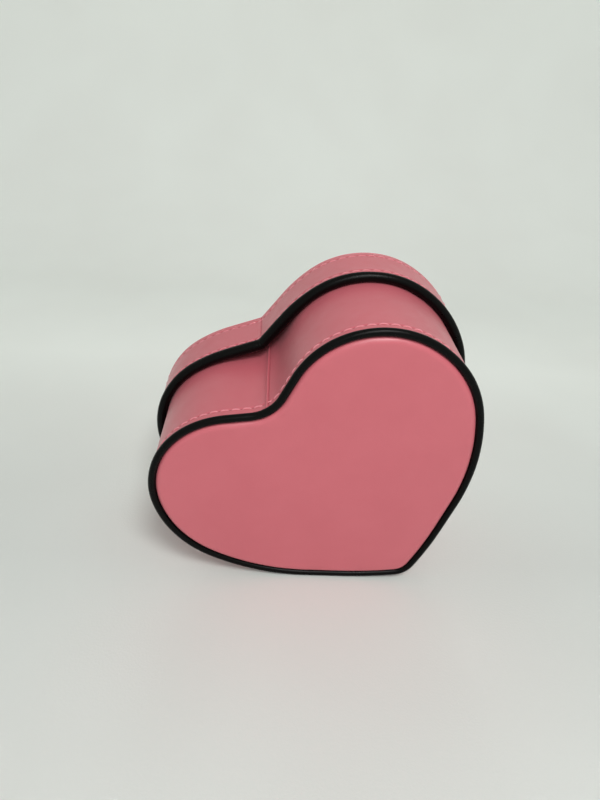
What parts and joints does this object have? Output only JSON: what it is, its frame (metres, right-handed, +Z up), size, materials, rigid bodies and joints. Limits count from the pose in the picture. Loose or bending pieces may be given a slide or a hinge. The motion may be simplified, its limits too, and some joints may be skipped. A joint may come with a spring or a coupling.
{
  "type": "heart-shaped gift box",
  "caption": "Heart-shaped gift box with a lift-off lid, covered in stitched leathercloth with corded edges, standing on one flank.",
  "frame": {"origin": "on the surface that the box stands on, under the middle of its bounding box, as it stands on one flank in the picture", "axes": "+Z up; -Y out of the face of the base that the picture shows, towards the viewer, +Y towards the lid; +X to the right in that view. The box's depth axis leans up by 4.8 degrees towards +Y, because the lid's rim cord stands further out than the base's cord."},
  "size_m": [0.1519, 0.0876, 0.1475],
  "materials": {
    "pink_leathercloth": "pink leathercloth with a fine grain and a soft sheen",
    "black_leathercloth": "smooth black leathercloth, half gloss",
    "filler_cord": "plain twisted filler cord",
    "greyboard": "raw greyboard",
    "foam": "thin open-cell foam",
    "pile_lining": "short black pile fabric"
  },
  "bodies": {
    "base": {"base_wall_board": "greyboard", "base_floor_board": "greyboard", "base_bottom_foam": "foam", "base_bottom_cover": "pink_leathercloth", "base_wall_cover": "pink_leathercloth", "base_piping_cover": "black_leathercloth", "base_piping_cord": "filler_cord", "base_wall_lining": "pile_lining", "base_floor_card": "greyboard", "base_floor_lining": "pile_lining"},
    "lid": {"lid_wall_board": "greyboard", "lid_top_board": "greyboard", "lid_top_foam": "foam", "lid_top_cover": "pink_leathercloth", "lid_wall_cover": "pink_leathercloth", "lid_rim_piping_cover": "black_leathercloth", "lid_rim_piping_cord": "filler_cord", "lid_wall_lining": "pile_lining", "lid_ceiling_card": "greyboard", "lid_ceiling_lining": "pile_lining"}
  },
  "joints": [
    {"name": "lid_lift", "type": "slide", "parent": "base", "child": "lid", "axis": [0, 0.9965, 0.0834], "range_m": [0, 0.08]}
  ]
}
